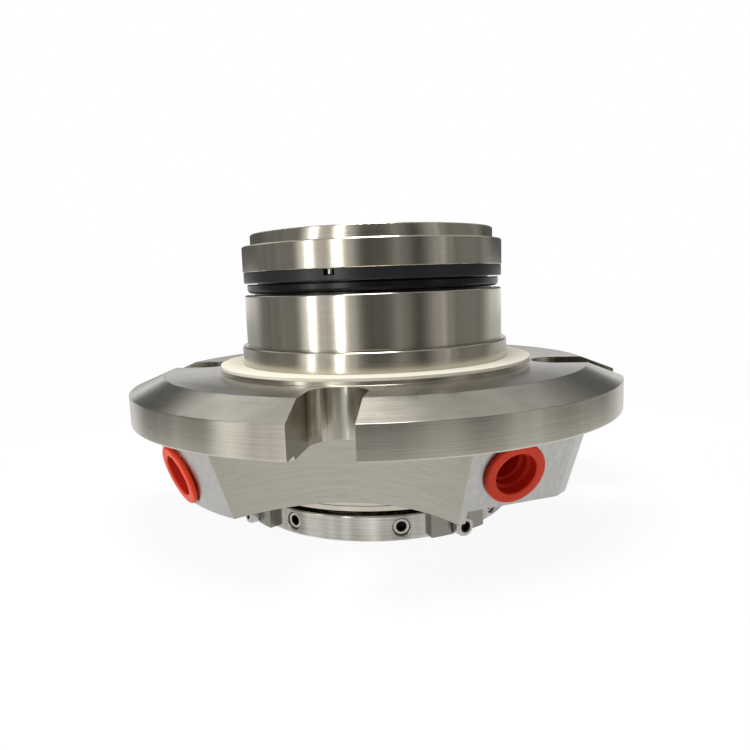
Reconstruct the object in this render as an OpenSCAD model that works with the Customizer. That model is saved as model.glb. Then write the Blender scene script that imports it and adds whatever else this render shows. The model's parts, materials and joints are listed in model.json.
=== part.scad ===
// Double cartridge mechanical seal, standing on its lock collar with the pump side up.
// The shaft runs along Z. The origin is on the shaft axis, at the foot of the lock collar.
// A turn of 0 points along +X. The four bolt slots lie on the X and Y axes.

/* [Shaft sleeve] */
// Diameter of the pump shaft that the sleeve slides onto
shaft_d = 70; // [68:0.5:71]
// Running room between the shaft and the sleeve bore, on the radius
shaft_clearance = 0.02; // [0.01:0.01:0.05]
// Wall of the plain part of the sleeve
sleeve_wall = 4; // [3.5:0.1:4.4]
// How far the sleeve stops above the foot of the collar
sleeve_recess = 0.6; // [0.2:0.1:2]
// Diameter of the head that carries the inboard rotary face
head_d = 101.6; // [100:0.2:106]
// Height of the head
head_h = 9.8; // [9:0.1:14]
// Diameter of the nose above the head
nose_d = 94.8; // [88:0.2:98]
// Height of the nose above the head
nose_h = 4.5; // [4:0.1:9]
// Depth of the pocket under the head that takes the rotary face
head_pocket_h = 6; // [5:0.1:7]
// Wall of the head outside that pocket
head_pocket_wall = 3.75; // [3.4:0.05:4.2]

/* [Lock collar] */
// Diameter of the lock collar
collar_d = 103.4; // [102:0.1:104]
// Height of the lock collar
collar_h = 9.5; // [9:0.1:12]
// Chamfer around the foot of the collar
collar_chamfer = 1.1; // [0.4:0.1:1.6]
// How many grub screws lock the collar to the shaft
grub_count = 8; // [4:4:8]
// Thread diameter of those grub screws
grub_d = 6; // [5:0.5:6]
// Length of a grub screw
grub_len = 13.5; // [10:0.5:14]
// How deep the grub screws sit below the collar's rim
grub_recess = 1.3; // [0.5:0.1:2.5]
// Turn of the first grub screw
grub_turn = 17.5; // [10:0.5:20]

/* [Setting clips] */
// How many setting clips hold the seal together for fitting
clip_count = 4; // [2:1:4]
// Turn of the first clip from the middle between two grub screws
clip_offset = 22.5; // [20:0.5:25]
// Thickness of the clip's upright plate
clip_plate = 2.7; // [2:0.1:3.5]
// Width of a clip, as an angle around the collar
clip_angle = 24; // [16:1:26]
// How far the clip's lip reaches in over the collar
clip_reach = 6; // [4:0.5:7]
// Height of a clip's foot above the collar's foot
clip_foot = 1; // [0.5:0.1:2]
// Thread diameter of the cap screws that hold the clips
cap_screw_d = 4; // [3:0.5:4]
// Length of a cap screw under its head
cap_screw_len = 10; // [8:0.5:12]
// Height of the cap screws above the collar's foot
cap_screw_z = 3.9; // [3.8:0.1:5]

/* [Gland plate] */
// Diameter of the flange
flange_d = 190; // [184:1:200]
// Thickness of the flange
flange_h = 16; // [14:0.1:20]
// Height of the straight rim below the bevel
rim_h = 10.9; // [8:0.1:13]
// How far the rim overhangs the boss
rim_overhang = 7; // [5:0.1:8]
// Width of the bevel, measured along the radius
bevel_w = 12.6; // [6:0.1:16]
// Width of the bolt slots
slot_w = 19.4; // [14:0.1:21]
// Radius at which a slot's round end begins
slot_inner_r = 61.9; // [61.8:0.1:66]
// Height of the raised land under the gasket
land_h = 1.4; // [0.5:0.1:2]
// Height of the boss
boss_h = 25.6; // [25:0.1:28]
// Diameter of the bore through the gland plate
gland_bore_d = 96; // [95.6:0.1:97]
// Diameter of the spigot under the boss
spigot_d = 103.4; // [102.6:0.1:103.8]
// Height of the spigot under the boss
spigot_h = 1.55; // [1.2:0.05:3]

/* [Scallops between the ports] */
// Radius of the tapered cutter that makes each scallop, where it meets the boss's lower face
scallop_tool_r = 36.8; // [34:0.2:38]
// Slope of that cutter's side from its own axis
scallop_taper = 24.4; // [22:0.2:26]
// Radius at which the scallop's wall meets the flange
scallop_top_r = 59.4; // [58:0.1:62]
// Radius at which the scallop's wall meets the boss's lower face
scallop_foot_r = 52.4; // [52.2:0.1:55]
// Thickness of the shoulder that the cutter leaves under the flange
shoulder_h = 1.4; // [0.5:0.1:2]

/* [Ports and plugs] */
// Diameter of a port's bore
port_d = 17; // [14:0.1:18]
// Depth of a port's bore
port_depth = 15; // [14.5:0.1:17]
// Diameter of the passage from a port to the barrier chamber
passage_d = 8; // [4:0.5:10]
// Height of the port's mouth above the collar's foot
port_z = 26.8; // [26:0.1:28]
// How far the ports, and the boss's cone with them, slant from level
port_slant = 18; // [16:0.5:20]
// Turn of a tangential port away from its lobe
port_swing = 14; // [10:0.5:16]
// How far a tangential port's axis passes from the shaft axis
port_offset = 17.2; // [14:0.1:19]
// Depth of a tangential port's milled flat below the boss's cone
flat_depth = 9.3; // [8:0.1:10]
// Distance from that port's axis to the near end of the flat
flat_near = 20.7; // [17:0.1:21.5]
// Depth of a radial port's spot face below the boss's cone
spot_depth = 0.5; // [0.3:0.1:2]
// How far a radial port sits below a tangential one
radial_drop = 1; // [0:0.1:1]
// Diameter of a plug's flange
plug_d = 21.7; // [19:0.1:22]
// Thickness of a plug's flange
plug_flange_h = 1.8; // [1:0.1:2.5]
// Length of a plug's hollow body
plug_len = 13; // [10:0.1:14]
// Wall of a plug
plug_wall = 1; // [0.8:0.05:1.4]

/* [Stationary side] */
// Diameter of the barrel that goes into the pump
barrel_d = 101; // [100.2:0.1:103]
// Height of the barrel above its register
barrel_h = 19.25; // [18:0.05:24]
// Wall of the barrel around the inboard stationary face
barrel_wall = 3.9; // [3.6:0.05:4.1]
// Wall of the register that centres the seal in the pump, around the gland plate's bore
register_wall = 4.4; // [4:0.1:4.8]
// Height of the register above the gasket's land
register_h = 8.2; // [6:0.1:10]
// Depth of the undercut between the register and the barrel
undercut = 0.5; // [0.3:0.1:0.8]
// Width of the gasket
gasket_w = 8.9; // [4:0.1:9]
// Thickness of the gasket
gasket_h = 1; // [0.5:0.1:2]
// Thickness of the cover ring under the gland plate
cover_h = 1.7; // [1.5:0.05:3]
// Gap between the lock collar and the cover ring, held open by the clips
setting_gap = 1.75; // [1.6:0.05:2.5]
// Thickness of the outboard seat
seat_h = 5; // [4.6:0.1:5.4]

/* [Seal faces] */
// Height of the inboard stationary face's head
stator_head_h = 3.45; // [3:0.05:4.5]
// Diameter of the inboard stationary face's head
stator_head_d = 98.8; // [97:0.1:100]
// Length of the inboard stationary face's neck
stator_neck_h = 11.6; // [11:0.1:12.5]
// Room for the inboard stationary face to move away from the rotary face
float_gap = 0.65; // [0.5:0.05:1.2]
// Height of the inboard rotary face's rim
rotary_rim_h = 4; // [3.4:0.1:5]
// Diameter of the inboard rotary face's rim
rotary_rim_d = 101.2; // [99.8:0.1:101.4]
// Width of the drive notches in that rim
notch_w = 3.8; // [3:0.1:5]
// Height of the drive notches in that rim
notch_h = 2.15; // [1.8:0.05:2.6]
// Diameter of the drive pins in the head
drive_pin_d = 2.4; // [1.8:0.1:2.6]
// Turn of the first drive notch
notch_turn = -96.8; // [-120:0.1:-80]
// Film between the lapped faces, drawn wide enough to see
face_film = 0.05; // [0.02:0.01:0.08]
// Height of the raised face bands
band_h = 0.3; // [0.2:0.05:0.5]
// Thickness of the outboard rotary face
outboard_face_h = 5.95; // [5.6:0.05:6.6]
// Room for the outboard rotary face to move towards its holder
outboard_gap = 1.2; // [0.9:0.05:1.8]
// Height of the outboard rotary holder
holder_h = 14; // [13:0.1:17]
// Number of pumping slots around the holder
pump_slots = 20; // [12:1:24]

/* [Springs and rings] */
// Number of springs on each side
spring_count = 6; // [3:3:6]
// Outside diameter of a spring
spring_d = 5; // [4.4:0.1:5]
// Wire of a spring
spring_wire = 0.8; // [0.6:0.05:0.9]
// Depth of the spring pockets
spring_pocket = 8; // [7:0.1:8.6]
// Radius of the ring of springs
spring_r = 43.6; // [43.4:0.1:43.8]
// Thickness of the ring between the springs and the inboard face
thrust_h = 2; // [1.6:0.1:2.6]
// Cord of the O-rings before they are squeezed
oring_cord = 2.8; // [2.6:0.05:2.9]
// How much an O-ring is squeezed
oring_squeeze = 0.35; // [0.2:0.05:0.5]

/* [Hidden] */
$fn = 96;

// Heights, from the foot of the collar upwards
shelf_gap = 2;
cover_z = collar_h + setting_gap;
spigot_z = cover_z + cover_h;
boss_z = spigot_z + spigot_h;
flange_z = boss_z + boss_h;
flange_top_z = flange_z + flange_h;
face_z = flange_top_z + land_h;
gasket_z = face_z + gasket_h;
register_z = face_z + register_h;
barrel_z = register_z + barrel_h;
stator_head_z = barrel_z + float_gap;
inboard_face_z = stator_head_z + stator_head_h + band_h + face_film;
head_z = inboard_face_z + rotary_rim_h;
nose_z = head_z + head_h;
top_z = nose_z + nose_h;
cover_lip_h = 2;
seat_z = spigot_z + cover_lip_h;
seat_face_z = seat_z + seat_h;
outboard_face_z = seat_face_z + face_film;
outboard_back_z = outboard_face_z + outboard_face_h;
holder_z = outboard_back_z + outboard_gap;
holder_top_z = holder_z + holder_h;
stator_foot_z = stator_head_z - stator_neck_h;
thrust_z = stator_foot_z - thrust_h;
shelf_z = thrust_z - shelf_gap;

// Radii
bore_r = shaft_d / 2 + shaft_clearance;
sleeve_r = shaft_d / 2 + sleeve_wall;
slip = 0.02;
ring_slip = 0.05;
head_pocket_r = head_d / 2 - head_pocket_wall;
stator_bore_r = barrel_d / 2 - barrel_wall;
gland_bore_r = gland_bore_d / 2;
register_r = gland_bore_r + register_wall;
gasket_r = register_r + gasket_w;
dowel_r = gland_bore_r + register_wall / 2;
flange_r = flange_d / 2;
boss_top_r = flange_r - rim_overhang;
boss_foot_r = boss_top_r - boss_h * tan(port_slant);
boss_port_r = boss_foot_r + (port_z - boss_z) * tan(port_slant);
collar_r = collar_d / 2;
inner_room = 1.2;
shelf_r = sleeve_r + inner_room;
stator_inner_r = sleeve_r + inner_room + 0.3;
rotary_inner_r = sleeve_r + 2.4;
band_r0 = sleeve_r + 3.3;
band_w = 3.2;
clip_r = collar_r + slip;
edge = 0.4;
register_relief = 0.8;

// Ring grooves
groove_depth = oring_cord - oring_squeeze;
groove_w = oring_cord + 0.6;

// Round pins that stop the faces from turning in their carriers
pin_d = 2.4;
pin_room = 0.4;
pin_reach = 2.2;
dowel_turn = 20;
stator_pin_turns = [30, 210];
holder_pin_turns = [90, 210, 330];
holder_screw_turns = [30, 150, 270];
holder_screw_z = holder_z + holder_h / 3;
seat_pin_r = gland_bore_r - 2.2;

// Grub screws, caps and hexagon sockets
grub_turns = [for (i = [0 : grub_count - 1]) grub_turn + i * 360 / grub_count];
clip_turns = [for (i = [0 : clip_count - 1]) grub_turn + clip_offset + i * 360 / clip_count];
grub_z = collar_h / 2 + 0.3;
cap_head_d = cap_screw_d * 1.75;
cap_head_h = cap_screw_d;
hex_grub = grub_d / 2;
hex_cap = cap_screw_d * 0.75;

// Port places: turn, distance of the seat from the axis, sideways offset
slot_turns = [0, 90, 180, 270];
lobe_turns = [-45, -135, 135, 45];
port_turns = [lobe_turns[0] - port_swing, lobe_turns[1], lobe_turns[2] - port_swing, lobe_turns[3]];
flat_r = boss_port_r - flat_depth;
spot_r = boss_port_r - radial_drop * tan(port_slant) - spot_depth;
port_seats = [flat_r, spot_r, flat_r, spot_r];
port_heights = [port_z, port_z - radial_drop, port_z, port_z - radial_drop];
port_sides = [port_offset, 0, port_offset, 0];
spot_d = plug_d + 1.2;

// A ring turned from r0 to r1, standing on z0
module ring(r0, r1, z0, h) {
    translate([0, 0, z0])
        difference() {
            cylinder(r = r1, h = h);
            translate([0, 0, -1]) cylinder(r = r0, h = h + 2);
        }
}

// An O-ring squeezed between two round walls
module squeezed_ring(r0, r1, z) {
    mid = (r0 + r1) / 2;
    rotate_extrude()
        intersection() {
            translate([mid, z]) circle(d = oring_cord, $fn = 40);
            translate([r0, z - oring_cord]) square([r1 - r0, 2 * oring_cord]);
        }
}

// Cuts a groove into the outside of a ring of radius r, around height z
module outer_groove(r, z) {
    ring(r - groove_depth, r + 5, z - groove_w / 2, groove_w);
}

// A hexagon socket of width af, sunk from z = 0 downwards
module hex_socket(af, depth) {
    translate([0, 0, -depth]) cylinder(d = af / cos(30), h = depth + 1, $fn = 6);
}

// Puts children at a radius, with their Z axis pointing outwards
module radial(turn, r, z) {
    rotate([0, 0, turn]) translate([r, 0, z]) rotate([0, 90, 0]) children();
}

// Puts children on port number i, with their Z axis pointing out of the port
module on_port(i) {
    rotate([0, 0, port_turns[i]])
        translate([port_seats[i], port_sides[i], port_heights[i]])
            rotate([0, 90 + port_slant, 0])
                children();
}

module shaft_sleeve() {
    groove_z = nose_z - 1;
    color("lightgrey")
        difference() {
            rotate_extrude()
                polygon([
                    [bore_r, sleeve_recess + edge],
                    [bore_r + edge, sleeve_recess],
                    [sleeve_r - edge, sleeve_recess],
                    [sleeve_r, sleeve_recess + edge],
                    [sleeve_r, head_z + head_pocket_h],
                    [head_pocket_r, head_z + head_pocket_h],
                    [head_pocket_r, head_z],
                    [head_d / 2 - edge, head_z],
                    [head_d / 2, head_z + edge],
                    [head_d / 2, nose_z - edge],
                    [head_d / 2 - edge, nose_z],
                    [nose_d / 2, nose_z],
                    [nose_d / 2, top_z - edge],
                    [nose_d / 2 - edge, top_z],
                    [bore_r + 1.5, top_z],
                    [bore_r, top_z - 1.5]
                ]);
            ring(bore_r - 1, bore_r + groove_depth, groove_z - groove_w / 2, groove_w);
            for (t = grub_turns)
                radial(t, bore_r - 2, grub_z) cylinder(d = grub_d + 0.4, h = sleeve_wall + 4);
            for (t = [notch_turn, notch_turn + 180])
                rotate([0, 0, t])
                    translate([(head_pocket_r + head_d / 2) / 2, 0, head_z - 1])
                        cylinder(d = drive_pin_d, h = 6, $fn = 32);
            for (t = holder_screw_turns)
                radial(t, sleeve_r - 0.6, holder_screw_z) cylinder(d = 3, h = 5, $fn = 32);
        }
}

module shaft_oring() {
    color("#1c1c1c") squeezed_ring(bore_r, bore_r + groove_depth, nose_z - 1);
}

module inboard_rotary_face() {
    spigot_r = head_pocket_r - ring_slip;
    spigot_top = head_z + head_pocket_h - 0.2;
    color("#3a3b3e")
        difference() {
            rotate_extrude()
                polygon([
                    [rotary_inner_r, inboard_face_z],
                    [rotary_rim_d / 2 - edge, inboard_face_z],
                    [rotary_rim_d / 2, inboard_face_z + edge],
                    [rotary_rim_d / 2, head_z],
                    [spigot_r, head_z],
                    [spigot_r, spigot_top],
                    [rotary_inner_r, spigot_top]
                ]);
            outer_groove(spigot_r, head_z + head_pocket_h / 2);
            for (t = [notch_turn, notch_turn + 180])
                rotate([0, 0, t])
                    translate([spigot_r, -notch_w / 2, head_z - notch_h])
                        cube([10, notch_w, notch_h + 0.01]);
        }
}

module inboard_face_oring() {
    spigot_r = head_pocket_r - ring_slip;
    color("#1c1c1c") squeezed_ring(spigot_r - groove_depth, head_pocket_r, head_z + head_pocket_h / 2);
}

module face_drive_pins() {
    color("silver")
        for (t = [notch_turn, notch_turn + 180])
            rotate([0, 0, t])
                translate([(head_pocket_r + head_d / 2) / 2, 0, head_z - notch_h + 0.4])
                    cylinder(d = drive_pin_d, h = notch_h + 4.6, $fn = 32);
}

module rotary_holder() {
    holder_r = gland_bore_r - inner_room;
    slot_depth = 3;
    slot_top = holder_top_z + 1;
    slot_foot = holder_z + spring_pocket + 1.2;
    color("lightgrey")
        difference() {
            ring(sleeve_r + slip, holder_r, holder_z, holder_h);
            for (i = [0 : spring_count - 1])
                rotate([0, 0, i * 360 / spring_count])
                    translate([spring_r, 0, holder_z - 1])
                        cylinder(d = spring_d + 0.4, h = spring_pocket + 1, $fn = 32);
            for (i = [0 : pump_slots - 1])
                rotate([0, 0, i * 360 / pump_slots])
                    translate([holder_r - slot_depth, 0, slot_foot])
                        rotate([0, 0, -20])
                            translate([0, -1.5, 0])
                                cube([slot_depth + 4, 3, slot_top - slot_foot]);
            for (t = holder_screw_turns)
                radial(t, sleeve_r - 1, holder_screw_z)
                    cylinder(d = 4, h = holder_r - sleeve_r + 3, $fn = 32);
            for (t = holder_pin_turns)
                rotate([0, 0, t])
                    translate([spring_r, 0, holder_z - 1])
                        cylinder(d = pin_d, h = 7, $fn = 32);
        }
}

module holder_grub_screws() {
    color("dimgrey")
        for (t = holder_screw_turns)
            radial(t, sleeve_r + 0.1, holder_screw_z)
                difference() {
                    union() {
                        cylinder(d = 3.96, h = 5.4, $fn = 32);
                        translate([0, 0, -0.6]) cylinder(d = 2.8, h = 1, $fn = 32);
                    }
                    translate([0, 0, 5.4]) hex_socket(2, 2.4);
                }
}

module holder_drive_pins() {
    color("silver")
        for (t = holder_pin_turns)
            rotate([0, 0, t])
                translate([spring_r, 0, outboard_back_z - pin_reach])
                    cylinder(d = pin_d, h = pin_reach + outboard_gap + 6, $fn = 32);
}

module outboard_rotary_face() {
    color("#34363a")
        difference() {
            union() {
                ring(sleeve_r + ring_slip, stator_bore_r - 0.6, outboard_face_z + band_h,
                    outboard_face_h - band_h);
                ring(band_r0, band_r0 + band_w, outboard_face_z, 1);
            }
            ring(sleeve_r - 1, sleeve_r + ring_slip + groove_depth,
                outboard_face_z + 2.7 - groove_w / 2, groove_w);
            for (t = holder_pin_turns)
                rotate([0, 0, t])
                    translate([spring_r, 0, outboard_back_z - pin_reach - outboard_gap])
                        cylinder(d = pin_d + 2 * pin_room, h = pin_reach + outboard_gap + 1, $fn = 32);
        }
}

module outboard_face_oring() {
    color("#1c1c1c")
        squeezed_ring(sleeve_r + slip, sleeve_r + ring_slip + groove_depth, outboard_face_z + 2.7);
}

module lock_collar() {
    color("lightgrey")
        difference() {
            rotate_extrude()
                polygon([
                    [sleeve_r + slip, edge],
                    [sleeve_r + slip + edge, 0],
                    [collar_r - collar_chamfer, 0],
                    [collar_r, collar_chamfer],
                    [collar_r, collar_h - edge],
                    [collar_r - edge, collar_h],
                    [sleeve_r + slip, collar_h]
                ]);
            for (t = grub_turns) {
                radial(t, sleeve_r - 1, grub_z) cylinder(d = grub_d, h = collar_r);
                radial(t, collar_r - 0.35, grub_z)
                    cylinder(d1 = grub_d, d2 = grub_d + 1.4, h = 0.7);
            }
            for (t = clip_turns)
                radial(t, collar_r - cap_screw_len, cap_screw_z)
                    cylinder(d = cap_screw_d, h = cap_screw_len + 2);
        }
}

module collar_grub_screws() {
    color("dimgrey")
        for (t = grub_turns)
            radial(t, collar_r - grub_recess - grub_len, grub_z)
                difference() {
                    cylinder(d = grub_d - 0.04, h = grub_len);
                    translate([0, 0, grub_len]) hex_socket(hex_grub, 3);
                }
}

// A clip: an upright plate against the collar, with a lip that fills the setting gap
module setting_clip(i) {
    lip_h = setting_gap - 0.2;
    plate_r = clip_r + clip_plate;
    half = clip_angle / 2;
    color("gainsboro")
        rotate([0, 0, clip_turns[i]])
            difference() {
                rotate([0, 0, -half])
                    rotate_extrude(angle = clip_angle)
                        polygon([
                            [clip_r, clip_foot],
                            [plate_r, clip_foot],
                            [plate_r, collar_h + lip_h],
                            [collar_r - clip_reach, collar_h + lip_h],
                            [collar_r - clip_reach, collar_h],
                            [clip_r, collar_h]
                        ]);
                radial(0, collar_r - 3, cap_screw_z)
                    cylinder(d = cap_screw_d + 0.2, h = clip_plate + 6);
                radial(0, plate_r - 0.6, cap_screw_z)
                    cylinder(d = cap_head_d + 0.6, h = 4);
            }
}

module setting_clip_1() { setting_clip(0); }
module setting_clip_2() { setting_clip(1); }
module setting_clip_3() { setting_clip(2); }
module setting_clip_4() { setting_clip(3); }

module clip_screws() {
    seat_r = clip_r + clip_plate - 0.6;
    color("silver")
        for (t = clip_turns)
            radial(t, seat_r, cap_screw_z)
                difference() {
                    union() {
                        translate([0, 0, -cap_screw_len + 0.5])
                            cylinder(d = cap_screw_d - 0.04, h = cap_screw_len);
                        cylinder(d = cap_head_d, h = cap_head_h - 0.3);
                        translate([0, 0, cap_head_h - 0.3])
                            cylinder(d1 = cap_head_d, d2 = cap_head_d - 0.6, h = 0.3);
                    }
                    translate([0, 0, cap_head_h]) hex_socket(hex_cap, cap_head_h * 0.55);
                }
}

// The turned blank of the gland plate
module gland_blank() {
    rotate_extrude()
        polygon([
            [gland_bore_r, spigot_z],
            [spigot_d / 2 - 0.2, spigot_z],
            [spigot_d / 2, spigot_z + 0.2],
            [spigot_d / 2, boss_z],
            [boss_foot_r - edge, boss_z],
            [boss_foot_r, boss_z + edge],
            [boss_top_r, flange_z],
            [flange_r - edge, flange_z],
            [flange_r, flange_z + edge],
            [flange_r, flange_z + rim_h],
            [flange_r - bevel_w, flange_top_z],
            [gasket_r, flange_top_z],
            [gasket_r, face_z],
            [gland_bore_r + edge, face_z],
            [gland_bore_r, face_z - edge]
        ]);
}

// One scallop: a tapered cutter that leans outwards, with its side along the scallop's wall
module scallop() {
    lean = atan((scallop_top_r - scallop_foot_r) / boss_h) + scallop_taper;
    below = boss_h / 2;
    above = 3 * boss_h;
    translate([scallop_foot_r, 0, boss_z])
        rotate([0, lean, 0])
            translate([scallop_tool_r, 0, -below])
                cylinder(
                    r1 = scallop_tool_r - below * tan(scallop_taper),
                    r2 = scallop_tool_r + above * tan(scallop_taper),
                    h = below + above
                );
}

// One bolt slot with a round inner end, open at the rim
module bolt_slot() {
    slot_r = slot_inner_r + slot_w / 2;
    translate([0, 0, flange_z - shoulder_h - 1])
        linear_extrude(flange_h + shoulder_h + 2)
            union() {
                translate([slot_r, 0]) circle(d = slot_w);
                translate([slot_r, -slot_w / 2]) square([flange_r, slot_w]);
            }
}

// A tangential port's flat, which runs out of the boss's cone on its far side
module port_flat() {
    translate([-2 * boss_h, -flat_near, 0]) cube([4 * boss_h, flange_r, 2 * boss_h]);
}

module gland_plate() {
    color("#b9b6ae")
        difference() {
            gland_blank();
            intersection() {
                union() {
                    for (t = slot_turns)
                        rotate([0, 0, t]) scallop();
                    for (i = [0, 2])
                        on_port(i) port_flat();
                }
                translate([0, 0, boss_z]) cylinder(r = flange_d, h = boss_h - shoulder_h);
            }
            for (t = slot_turns)
                rotate([0, 0, t]) bolt_slot();
            for (i = [1, 3])
                on_port(i) cylinder(d = spot_d, h = 12);
            for (i = [0 : 3])
                on_port(i) {
                    translate([0, 0, -port_depth]) cylinder(d = port_d, h = port_depth + 1);
                    translate([0, 0, -port_seats[i] + 30]) cylinder(d = passage_d, h = port_seats[i]-32);
                }
            rotate([0, 0, dowel_turn])
                translate([dowel_r, 0, face_z - 4])
                    cylinder(d = 2, h = 5, $fn = 32);
        }
}

module stator_barrel() {
    chamber_r = sleeve_r + 4;
    foot_z = face_z - 12;
    color("#c4c1ba")
        difference() {
            rotate_extrude()
                polygon([
                    [chamber_r, foot_z],
                    [gland_bore_r - edge, foot_z],
                    [gland_bore_r, foot_z + edge],
                    [gland_bore_r, face_z],
                    [register_r - register_relief, face_z],
                    [register_r - register_relief, gasket_z],
                    [register_r, gasket_z],
                    [register_r, register_z - edge],
                    [register_r - edge, register_z],
                    [barrel_d / 2 - undercut, register_z],
                    [barrel_d / 2 - undercut, register_z + undercut],
                    [barrel_d / 2, register_z + undercut],
                    [barrel_d / 2, barrel_z - edge],
                    [barrel_d / 2 - edge, barrel_z],
                    [stator_bore_r + edge, barrel_z],
                    [stator_bore_r, barrel_z - edge],
                    [stator_bore_r, shelf_z],
                    [shelf_r, shelf_z],
                    [shelf_r, shelf_z - spring_pocket - 2],
                    [chamber_r, shelf_z - spring_pocket - 2]
                ]);
            outer_groove(gland_bore_r, face_z - 6);
            for (i = [0 : spring_count - 1])
                rotate([0, 0, i * 360 / spring_count])
                    translate([spring_r, 0, shelf_z - spring_pocket])
                        cylinder(d = spring_d + 0.4, h = spring_pocket + 1, $fn = 32);
            for (t = stator_pin_turns)
                rotate([0, 0, t])
                    translate([spring_r, 0, shelf_z - 5])
                        cylinder(d = pin_d, h = 6, $fn = 32);
            rotate([0, 0, dowel_turn])
                translate([dowel_r, 0, face_z - 1])
                    cylinder(d = 2, h = 4, $fn = 32);
        }
}

module gland_gasket() {
    color("#ebe7da") ring(register_r, gasket_r, face_z, gasket_h);
}

module barrel_oring() {
    color("#1c1c1c") squeezed_ring(gland_bore_r - groove_depth, gland_bore_r, face_z - 6);
}

module barrel_dowel() {
    color("silver")
        rotate([0, 0, dowel_turn])
            translate([dowel_r, 0, face_z - 3.8])
                cylinder(d = 2, h = 6.6, $fn = 32);
}

module stator_pins() {
    color("silver")
        for (t = stator_pin_turns)
            rotate([0, 0, t])
                translate([spring_r, 0, shelf_z - 5])
                    cylinder(d = pin_d, h = 5 + shelf_gap + thrust_h + pin_reach - 0.8, $fn = 32);
}

module inboard_stationary_face() {
    neck_r = stator_bore_r - ring_slip;
    head_r = stator_head_d / 2;
    head_top = stator_head_z + stator_head_h;
    color("#17181a")
        difference() {
            union() {
                rotate_extrude()
                    polygon([
                        [stator_inner_r, stator_foot_z],
                        [neck_r - edge, stator_foot_z],
                        [neck_r, stator_foot_z + edge],
                        [neck_r, stator_head_z],
                        [head_r - 1.4, stator_head_z],
                        [head_r - 0.5, stator_head_z + 0.4],
                        [head_r, stator_head_z + 1.3],
                        [head_r, head_top - edge],
                        [head_r - edge, head_top],
                        [stator_inner_r, head_top]
                    ]);
                ring(band_r0, band_r0 + band_w, head_top - 1, band_h + 1);
            }
            outer_groove(neck_r, stator_foot_z + 5);
            for (t = stator_pin_turns)
                rotate([0, 0, t])
                    translate([spring_r, 0, stator_foot_z - 1])
                        cylinder(d = pin_d + 2 * pin_room, h = pin_reach + 1, $fn = 32);
        }
}

module inboard_stator_oring() {
    neck_r = stator_bore_r - ring_slip;
    color("#1c1c1c") squeezed_ring(neck_r - groove_depth, stator_bore_r - slip, stator_foot_z + 5);
}

module thrust_ring() {
    color("silver")
        difference() {
            ring(stator_inner_r, stator_bore_r - 0.15, thrust_z, thrust_h);
            for (t = stator_pin_turns)
                rotate([0, 0, t])
                    translate([spring_r, 0, thrust_z - 1])
                        cylinder(d = pin_d + 2 * pin_room, h = thrust_h + 2, $fn = 32);
        }
}

module outboard_seat() {
    seat_r = gland_bore_r - ring_slip;
    color("#3d3a36")
        difference() {
            ring(rotary_inner_r, seat_r, seat_z, seat_h);
            outer_groove(seat_r, seat_z + seat_h / 2);
            translate([seat_pin_r, 0, seat_z - 1]) cylinder(d = 2.2, h = 1.7, $fn = 32);
        }
}

module outboard_seat_oring() {
    seat_r = gland_bore_r - ring_slip;
    color("#1c1c1c") squeezed_ring(seat_r - groove_depth, gland_bore_r, seat_z + seat_h / 2);
}

module seat_pin() {
    color("silver")
        translate([seat_pin_r, 0, cover_z + 0.6])
            cylinder(d = 2, h = seat_z - cover_z, $fn = 32);
}

module cover_ring() {
    cover_inner_r = sleeve_r + 5;
    color("#d5d3cd")
        difference() {
            union() {
                ring(cover_inner_r, spigot_d / 2, cover_z, cover_h);
                ring(cover_inner_r, gland_bore_r, cover_z, cover_h + cover_lip_h);
            }
            translate([seat_pin_r, 0, cover_z + 0.6])
                cylinder(d = 2, h = 10, $fn = 32);
        }
}

// A hollow push-in cap: a flange outside, a tapered body inside, a stepped cavity
module port_plug(i) {
    body_r = port_d / 2 - ring_slip;
    color("#d13a28")
        on_port(i)
            rotate_extrude()
                polygon([
                    [0, -plug_len],
                    [body_r - 0.9, -plug_len],
                    [body_r - 0.5, -plug_len + 0.6],
                    [body_r, 0],
                    [plug_d / 2 - 0.3, 0],
                    [plug_d / 2, 0.3],
                    [plug_d / 2, plug_flange_h - 0.5],
                    [plug_d / 2 - 0.5, plug_flange_h],
                    [body_r - plug_wall + 0.3, plug_flange_h],
                    [body_r - plug_wall, plug_flange_h - 0.3],
                    [body_r - plug_wall, -3],
                    [body_r - plug_wall - 0.6, -3],
                    [body_r - plug_wall - 0.6, -8],
                    [body_r - plug_wall - 1.3, -8],
                    [body_r - plug_wall - 1.3, -plug_len + 1.2],
                    [0, -plug_len + 1.2]
                ]);
}

module port_plug_1() { port_plug(0); }
module port_plug_2() { port_plug(1); }
module port_plug_3() { port_plug(2); }
module port_plug_4() { port_plug(3); }

// A coil spring of round wire, from z0 up to z1, as a tube swept along a helix
module coil(z0, z1) {
    coils = 4;
    steps = 10;
    sides = 6;
    mean_r = (spring_d - spring_wire) / 2;
    wire_r = spring_wire / 2;
    count = coils * steps;
    rise = z1 - z0 - spring_wire;
    points = [for (k = [0 : count], j = [0 : sides - 1])
        let (turn = 360 * k / steps, round = 360 * j / sides + 30)
        [(mean_r + wire_r * cos(round)) * cos(turn),
         (mean_r + wire_r * cos(round)) * sin(turn),
         z0 + wire_r + rise * k / count + wire_r * sin(round)]];
    lower = [for (k = [0 : count - 1], j = [0 : sides - 1])
        [k * sides + j, k * sides + (j + 1) % sides, (k + 1) * sides + (j + 1) % sides]];
    upper = [for (k = [0 : count - 1], j = [0 : sides - 1])
        [k * sides + j, (k + 1) * sides + (j + 1) % sides, (k + 1) * sides + j]];
    first = [for (j = [1 : sides - 2]) [0, j + 1, j]];
    last = [for (j = [1 : sides - 2]) [count * sides, count * sides + j, count * sides + j + 1]];
    polyhedron(points = points, faces = concat(lower, upper, first, last), convexity = 6);
}

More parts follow.
